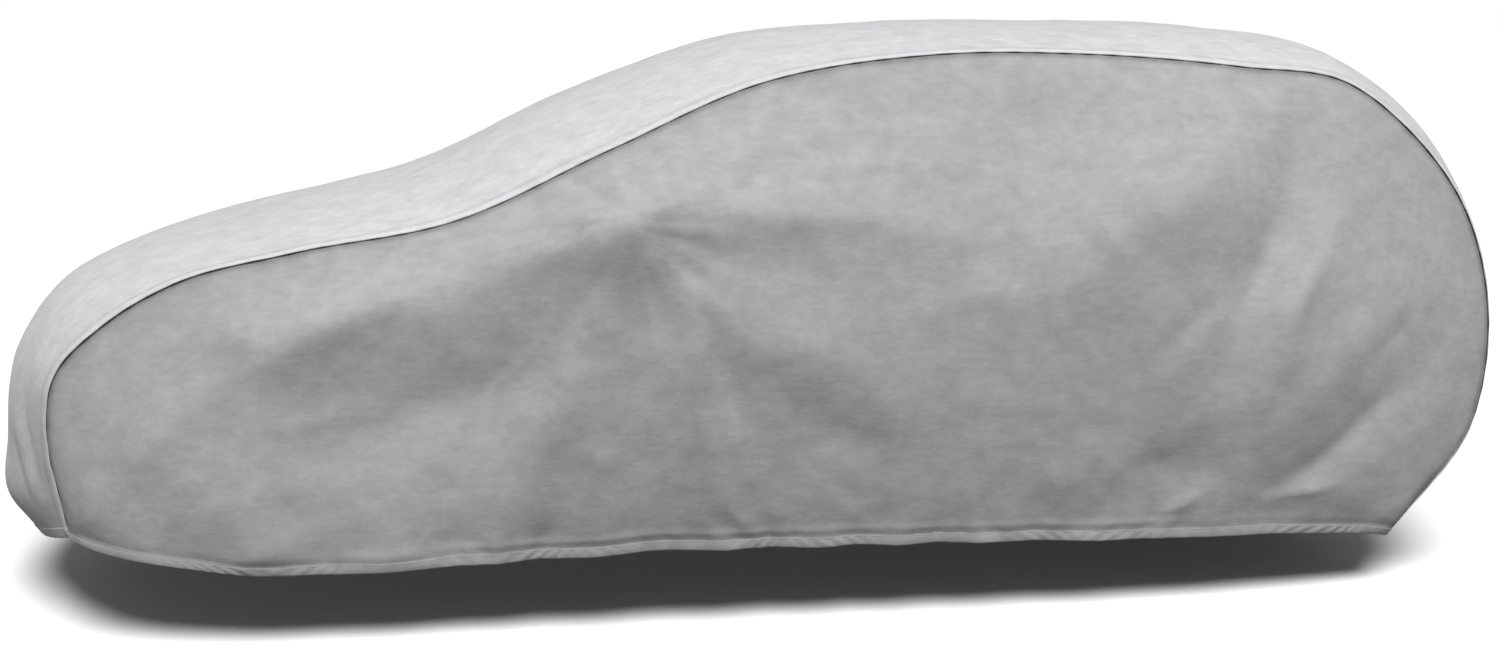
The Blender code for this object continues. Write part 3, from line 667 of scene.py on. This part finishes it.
def thread_piece(name, path, normals, material):
    """A row of stitches on a path: each is a slim bead with eight faces, longer than it
    is wide, lying along the path half sunk in the cloth."""
    run = run_along(path)
    middles = np.arange(STITCH_PITCH, run[-1] - STITCH_PITCH, STITCH_PITCH)

    def read(values, at):
        return np.stack([np.interp(at, run, values[:, k]) for k in range(3)], axis=1)

    reach = STITCH_PITCH * 0.40
    start, end = read(path, middles - reach), read(path, middles + reach)
    centre, normal = read(path, middles), unit(read(normals, middles))
    side = STITCH_RADIUS * unit(np.cross(end - start, normal))
    high = STITCH_RADIUS * normal
    ring = [centre + side, centre + high, centre - side, centre - high]
    points = np.stack([start, end, *ring], axis=1).reshape(-1, 3)
    bead = np.array([(0, 2, 3), (0, 3, 4), (0, 4, 5), (0, 5, 2),
                     (1, 3, 2), (1, 4, 3), (1, 5, 4), (1, 2, 5)])
    faces = (bead[None] + 6 * np.arange(len(middles))[:, None, None]).reshape(-1, 3)
    piece = new_piece(name, points, faces.tolist(), material)


# ---------------------------------------------------------------- materials

def add_node(tree, kind, place, **settings):
    node = tree.nodes.new(kind)
    node.location = place
    for key, value in settings.items():
        setattr(node, key, value)
    return node


def set_inputs(node, values):
    for name, value in values.items():
        node.inputs[name].default_value = value


def math_node(tree, operation, place, first, second):
    """A Math node; each input is a socket or a number."""
    node = add_node(tree, "ShaderNodeMath", place, operation=operation)
    for socket, value in zip(node.inputs, (first, second)):
        if isinstance(value, bpy.types.NodeSocket):
            tree.links.new(value, socket)
        else:
            socket.default_value = value
    return node.outputs[0]


def nonwoven_group():
    """The look of non-woven cloth: soft clouds of thicker and thinner fibre, streaks of fibre
    along the cloth's length, and the small dots where the fibres are bonded. Painted shade
    darkens the colour by the piece's attribute times its strength; where that attribute is
    below zero it is a painted highlight instead."""
    if "nonwoven_cloth" in bpy.data.node_groups:
        return bpy.data.node_groups["nonwoven_cloth"]
    tree = bpy.data.node_groups.new("nonwoven_cloth", "ShaderNodeTree")
    # inputs: the colour, the strengths of clouds and streaks, and the piece's painted shade with how
    # far it darkens the colour
    for name, kind, default in (("Colour", "NodeSocketColor", (0.5, 0.5, 0.5, 1.0)),
                                ("Clouds", "NodeSocketFloat", 0.10),
                                ("Streaks", "NodeSocketFloat", 0.08),
                                ("Painted Shade", "NodeSocketFloat", 0.0),
                                ("Painted Shade Strength", "NodeSocketFloat", 0.3)):
        socket = tree.interface.new_socket(name=name, in_out="INPUT", socket_type=kind)
        socket.default_value = default
    for name, kind in (("Colour", "NodeSocketColor"), ("Roughness", "NodeSocketFloat"),
                       ("Height", "NodeSocketFloat")):
        tree.interface.new_socket(name=name, in_out="OUTPUT", socket_type=kind)
    given = add_node(tree, "NodeGroupInput", (-1200, 0))
    result = add_node(tree, "NodeGroupOutput", (900, 0))
    place = add_node(tree, "ShaderNodeTexCoord", (-1200, -300))
    streak_map = add_node(tree, "ShaderNodeMapping", (-1000, -500))
    set_inputs(streak_map, {"Scale": (0.30, 1.0, 1.0)})
    tree.links.new(place.outputs["Object"], streak_map.inputs["Vector"])

    def noise(scale, detail, roughness, spot, source):
        node = add_node(tree, "ShaderNodeTexNoise", spot)
        set_inputs(node, {"Scale": scale, "Detail": detail, "Roughness": roughness})
        tree.links.new(source, node.inputs["Vector"])
        return node.outputs["Fac"]

    clouds = noise(14.0, 5.0, 0.70, (-800, -200), place.outputs["Object"])
    streaks = noise(60.0, 4.0, 0.60, (-800, -450), streak_map.outputs["Vector"])
    fuzz = noise(420.0, 2.0, 0.50, (-800, -700), place.outputs["Object"])
    dots = add_node(tree, "ShaderNodeTexVoronoi", (-800, -950))
    set_inputs(dots, {"Scale": 330.0, "Randomness": 0.35})
    tree.links.new(place.outputs["Object"], dots.inputs["Vector"])

    def swing(source, strength, spot):
        around_zero = math_node(tree, "SUBTRACT", (-650, spot), source, 0.5)
        return math_node(tree, "MULTIPLY", (-500, spot), around_zero, given.outputs[strength])

    shade = math_node(tree, "ADD", (-300, -300), swing(clouds, "Clouds", -200),
                      swing(streaks, "Streaks", -400))
    shade = math_node(tree, "ADD", (-150, -300), shade, 1.0)
    # painted shade: the piece's attribute times its strength is taken off the colour
    dark = math_node(tree, "MULTIPLY", (-300, -100), given.outputs["Painted Shade"],
                     given.outputs["Painted Shade Strength"])
    shade = math_node(tree, "SUBTRACT", (0, -200), shade, dark)
    tint = add_node(tree, "ShaderNodeVectorMath", (200, 0), operation="SCALE")
    tree.links.new(given.outputs["Colour"], tint.inputs[0])
    tree.links.new(shade, tint.inputs["Scale"])
    tree.links.new(tint.outputs[0], result.inputs["Colour"])

    rough = math_node(tree, "MULTIPLY", (200, -500), fuzz, 0.10)
    rough = math_node(tree, "ADD", (350, -500), rough, 0.84)
    tree.links.new(rough, result.inputs["Roughness"])
    height = math_node(tree, "MULTIPLY", (-300, -700), streaks, 0.35)
    height = math_node(tree, "ADD", (-150, -700), height, clouds)
    fuzz_part = math_node(tree, "MULTIPLY", (-150, -850), fuzz, 0.10)
    height = math_node(tree, "ADD", (0, -700), height, fuzz_part)
    dots_part = math_node(tree, "MULTIPLY", (0, -950), dots.outputs["Distance"], 0.10)
    height = math_node(tree, "SUBTRACT", (150, -700), height, dots_part)
    tree.links.new(height, result.inputs["Height"])
    return tree


def cloth_material(name, colour, clouds, streaks, painted_shade_strength, bump):
    """Matt non-woven cloth of one colour, with the group's clouds and streaks, painted shade
    where the piece's own attribute says so, and a fine sheen."""
    if name in bpy.data.materials:
        return bpy.data.materials[name]
    material = bpy.data.materials.new(name)
    material.use_nodes = True
    tree = material.node_tree
    shader = tree.nodes["Principled BSDF"]
    set_inputs(shader, {"Sheen Weight": 0.15, "Sheen Roughness": 0.6, "Specular IOR Level": 0.25})
    look = add_node(tree, "ShaderNodeGroup", (-400, 200))
    look.node_tree = nonwoven_group()
    set_inputs(look, {"Colour": (*colour, 1.0), "Clouds": clouds, "Streaks": streaks,
                      "Painted Shade Strength": painted_shade_strength})
    # the piece's painted shade, read from its point attribute
    painted_shade = add_node(tree, "ShaderNodeAttribute", (-700, 100), attribute_name="painted_shade")
    tree.links.new(painted_shade.outputs["Fac"], look.inputs["Painted Shade"])
    relief = add_node(tree, "ShaderNodeBump", (-150, -200))
    set_inputs(relief, {"Strength": bump, "Distance": 0.004})
    tree.links.new(look.outputs["Height"], relief.inputs["Height"])
    tree.links.new(look.outputs["Colour"], shader.inputs["Base Color"])
    tree.links.new(look.outputs["Roughness"], shader.inputs["Roughness"])
    tree.links.new(relief.outputs["Normal"], shader.inputs["Normal"])
    material.diffuse_color = (*colour, 1.0)
    return material


# how far each cloth is darkened by its painted shade at full strength
def light_cloth(colours):
    return cloth_material("light_nonwoven", tuple(colours.light),
                          clouds=0.50, streaks=0.32, painted_shade_strength=0.25, bump=0.45)


def grey_cloth(colours):
    return cloth_material("grey_nonwoven", tuple(colours.grey),
                          clouds=0.50, streaks=0.28, painted_shade_strength=0.40, bump=0.45)


def thread(colours):
    """Polyester thread: the cloth's fibres without clouds, a little darker in places."""
    return cloth_material("polyester_thread", tuple(colours.thread),
                          clouds=0.05, streaks=0.20, painted_shade_strength=0.0, bump=0.2)


def plain_material(name, colour, roughness):
    material = bpy.data.materials.new(name)
    material.use_nodes = True
    set_inputs(material.node_tree.nodes["Principled BSDF"],
               {"Base Color": (*colour, 1.0), "Roughness": roughness})
    return material


# ---------------------------------------------------------------- operators

def hem_frames(edge, above):
    """Directions up the cloth along a hem, from the edge to the line above it. Where the
    two meet in a corner, the nearest direction that is sound is kept."""
    run = above - edge
    sound = np.flatnonzero(np.linalg.norm(run, axis=1) > SHORTEST_RUN)
    nearest = sound[np.abs(np.arange(len(edge))[:, None] - sound[None, :]).argmin(axis=1)]
    return unit(run[nearest])


def side_hem(sizes, right):
    """The edge of a side, its normals and the directions up the cloth."""
    at = dense_steps(SEAM_LENGTH, HEM_CELLS, ())
    rows = read_sections(at)
    seam, hem = edge_line(rows, "seam"), edge_line(rows, "hem")
    length = np.linalg.norm(hem - seam, axis=1)[:, None]
    reach = sizes.hem / np.maximum(length * slant(hem, hem - seam), 1e-6)
    steps = np.array((1.0, 0.5, 0.0))[None, :]
    v = 1.0 - np.clip(reach, 0.0, 0.9) * steps
    points, normals, _, _ = side_surface(sizes, at, v, right)
    return points[:, -1], normals[:, -1], hem_frames(points[:, -1], points[:, 0])


def strip_hem(sizes, end):
    """The edge of the strip at its front or rear end, its normals and the directions up
    the cloth."""
    start, step = (0.0, 1.0) if end == "front" else (SEAM_LENGTH, -1.0)
    at = np.sort(start + step * np.linspace(0.0, sizes.hem, 4))
    share = np.linspace(-1.0, 1.0, STRIP_HEM_CELLS + 1)[None, :]
    points, normals, _, _ = strip_surface(sizes, at, share)
    first, last = (0, -1) if end == "front" else (-1, 0)
    edge, outward = points[first], normals[first]
    outward = outward * np.sign(((edge - INSIDE) * outward).sum(axis=1).mean())
    return edge, outward, unit(points[last] - edge)


def sew_hem(end, sizes, colours, line, seed, fullness, cloth):
    """A casing and its stitches, on a line of points, normals and directions up."""
    edge, normals, ups = line
    casing_piece(f"hem_{end}", sizes, edge, normals, ups, seed, fullness, cloth)
    height = sizes.hem * STITCH_PLACE
    lie = casing_face(sizes, height, fullness) + STITCH_RADIUS / 3
    thread_piece(f"hem_stitches_{end}", edge + ups * (height - CASING_DROP) + normals * lie,
                 normals, thread(colours))


class COVER_OT_hems(bpy.types.Operator):
    """Sew the elastic's casing along the hem of every panel"""
    bl_idname = "car_cover.hems"
    bl_label = "Hems"

    def execute(self, context):
        sizes, colours = context.scene.cover_sizes, context.scene.cover_colours
        for side, towards in SIDES.items():
            right = side == "right"
            edge, normals, ups = (values * towards for values in side_hem(sizes, right))
            normals = normals * np.sign((normals[:, 1] * towards[1]).mean())
            sew_hem(side, sizes, colours, (edge, normals, ups), 3 + right, 1.0,
                    grey_cloth(colours))
        for end in ("front", "rear"):
            sew_hem(end, sizes, colours, strip_hem(sizes, end), 8, FLAT_CASING,
                    light_cloth(colours))
        return {"FINISHED"}


class COVER_OT_side_panels(bpy.types.Operator):
    """Hang the two grey side panels"""
    bl_idname = "car_cover.side_panels"
    bl_label = "Side Panels"

    def execute(self, context):
        sizes, colours = context.scene.cover_sizes, context.scene.cover_colours
        tip = seam_place("windscreen")
        at = dense_steps(SEAM_LENGTH, sizes.cells_along,
                         ((tip, 0.5, 0.7), (tip + 1.2, 0.8, 0.3)))
        v = dense_steps(1.0, sizes.cells_down,
                        ((0.0, 0.025, 2.2), (0.22, 0.12, 0.5), (1.0, 0.06, 1.4)))
        for side, towards in SIDES.items():
            right = side == "right"
            points, _, from_seam, from_hem = side_surface(sizes, at, v[None, :], right)
            # painted shade beside the seam and above the casing; the tucked cloth under the strip
            # takes the seam's
            painted_shade = side_painted_shade(sizes, from_seam, from_hem)
            under, outwards, gap, _ = strip_surface(sizes, at, np.array([TUCK_SHARES]))
            under = under[:, :1] - SEAM_TUCK * outwards[:, :1]
            points = np.concatenate((under, points), axis=1)
            from_seam = np.concatenate((-gap[:, :1], from_seam), axis=1)
            painted_shade = np.concatenate((painted_shade[:, :1], painted_shade), axis=1)
            cut = np.stack(np.broadcast_arrays(at[:, None], from_seam), axis=-1)
            piece = sheet_piece(f"side_{side}", points * towards, cut, grey_cloth(colours),
                                sizes.cloth, {"painted_shade": painted_shade}, flip=not right)
            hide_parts(f"side_panel_{side}")
        return {"FINISHED"}


class COVER_OT_centre_panel(bpy.types.Operator):
    """Lay the light strip over the middle"""
    bl_idname = "car_cover.centre_panel"
    bl_label = "Centre Panel"

    def execute(self, context):
        sizes, colours = context.scene.cover_sizes, context.scene.cover_colours
        at = dense_steps(SEAM_LENGTH, STRIP_CELLS_ALONG,
                         ((0.3, 0.3, 0.5), (SEAM_LENGTH - 0.3, 0.3, 0.5)))
        share = dense_steps(2.0, STRIP_CELLS_ACROSS, ((0.0, 0.06, 3.0), (2.0, 0.06, 3.0)))
        share = (share - 1.0) * OVERHANG
        points, _, from_seam, _ = strip_surface(sizes, at, share[None, :])
        cut = np.stack(np.broadcast_arrays(points[..., 1], at[:, None]), axis=-1)
        # painted shade beside the strip's rolled edge, and a painted highlight on the edge
        piece = sheet_piece("centre", points, cut, light_cloth(colours), sizes.cloth,
                            {"painted_shade": strip_painted_shade(from_seam)}, flip=False)
        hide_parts("centre_panel")
        return {"FINISHED"}


def studio_world(studio):
    """White surroundings for the camera. The cloth is lit by a grey sky that is darker
    below the horizon: the strength follows the height of the direction looked in."""
    world = bpy.data.worlds.new("studio")
    world.use_nodes = True
    tree = world.node_tree
    result = tree.nodes["World Output"]
    lit = tree.nodes["Background"]
    seen = add_node(tree, "ShaderNodeBackground", (0, -200))
    for sky in (lit, seen):
        set_inputs(sky, {"Color": (1.0, 1.0, 1.0, 1.0)})
    place = add_node(tree, "ShaderNodeTexCoord", (-800, 0))
    parts = add_node(tree, "ShaderNodeSeparateXYZ", (-600, 0))
    strength = add_node(tree, "ShaderNodeMapRange", (-300, 0))
    set_inputs(strength, {"From Min": -0.3, "From Max": 0.3,
                          "To Min": studio.ground, "To Max": studio.sky})
    tree.links.new(place.outputs["Generated"], parts.inputs[0])
    tree.links.new(parts.outputs["Z"], strength.inputs["Value"])
    tree.links.new(strength.outputs["Result"], lit.inputs["Strength"])
    path = add_node(tree, "ShaderNodeLightPath", (0, 300))
    choice = add_node(tree, "ShaderNodeMixShader", (300, 0))
    tree.links.new(path.outputs["Is Camera Ray"], choice.inputs[0])
    tree.links.new(lit.outputs[0], choice.inputs[1])
    tree.links.new(seen.outputs[0], choice.inputs[2])
    tree.links.new(choice.outputs[0], result.inputs["Surface"])
    return world


class COVER_OT_studio(bpy.types.Operator):
    """Set the pale floor, the soft lights and the camera"""
    bl_idname = "car_cover.studio"
    bl_label = "Studio"

    def execute(self, context):
        studio = context.scene.cover_studio
        corners = [(x * FLOOR_HALF, y * FLOOR_HALF, -MOUNT_UP)
                   for x, y in ((-1, -1), (1, -1), (1, 1), (-1, 1))]
        mesh = bpy.data.meshes.new("floor")
        mesh.from_pydata(corners, [], [(0, 1, 2, 3)])
        mesh.materials.append(plain_material("floor", tuple(studio.floor), 0.9))
        floor = bpy.data.objects.new("floor", mesh)
        floor.visible_diffuse = False
        context.scene.collection.objects.link(floor)

        lamp = bpy.data.lights.new("key", "SUN")
        lamp.energy = studio.key
        lamp.angle = studio.key_spread
        key = bpy.data.objects.new("key", lamp)
        key.location = LAMP_PLACE
        key.rotation_euler = (math.pi / 2 - studio.key_height, 0.0, 0.0)
        context.scene.collection.objects.link(key)
        context.scene.world = studio_world(studio)
        context.scene.view_settings.view_transform = "Standard"

        lens = bpy.data.cameras.new("camera")
        lens.lens = studio.lens
        lens.sensor_width = 36.0
        camera = bpy.data.objects.new("camera", lens)
        camera.location = CAMERA_PLACE
        camera.rotation_euler = (CAMERA_TILT, 0.0, CAMERA_TURN)
        context.scene.collection.objects.link(camera)
        context.scene.camera = camera
        return {"FINISHED"}


class COVER_PT_sidebar(bpy.types.Panel):
    """Builds the car cover's pieces and its studio"""
    bl_label = "Car Cover"
    bl_idname = "COVER_PT_sidebar"
    bl_space_type = "VIEW_3D"
    bl_region_type = "UI"
    bl_category = "Car Cover"

    def draw(self, context):
        scene = context.scene
        for settings, operators in (
                (scene.cover_sizes, (COVER_OT_hems, COVER_OT_side_panels, COVER_OT_centre_panel)),
                (scene.cover_colours, ()),
                (scene.cover_studio, (COVER_OT_studio,))):
            box = self.layout.box()
            for name in settings.bl_rna.properties.keys():
                if name not in {"rna_type", "name"}:
                    box.prop(settings, name)
            for operator in operators:
                box.operator(operator.bl_idname)


CLASSES = (CoverSizes, CoverColours, CoverStudio, COVER_OT_hems, COVER_OT_side_panels,
           COVER_OT_centre_panel, COVER_OT_studio, COVER_PT_sidebar)
SETTINGS = {"cover_sizes": CoverSizes, "cover_colours": CoverColours,
            "cover_studio": CoverStudio}


def register():
    for item in CLASSES:
        bpy.utils.register_class(item)
    for name, group in SETTINGS.items():
        setattr(bpy.types.Scene, name, PointerProperty(type=group))


def unregister():
    for name in SETTINGS:
        delattr(bpy.types.Scene, name)
    for item in reversed(CLASSES):
        bpy.utils.unregister_class(item)


def main():
    register()
    bpy.ops.car_cover.studio()
    bpy.ops.car_cover.hems()
    bpy.ops.car_cover.side_panels()
    bpy.ops.car_cover.centre_panel()


if __name__ == "__main__":
    main()
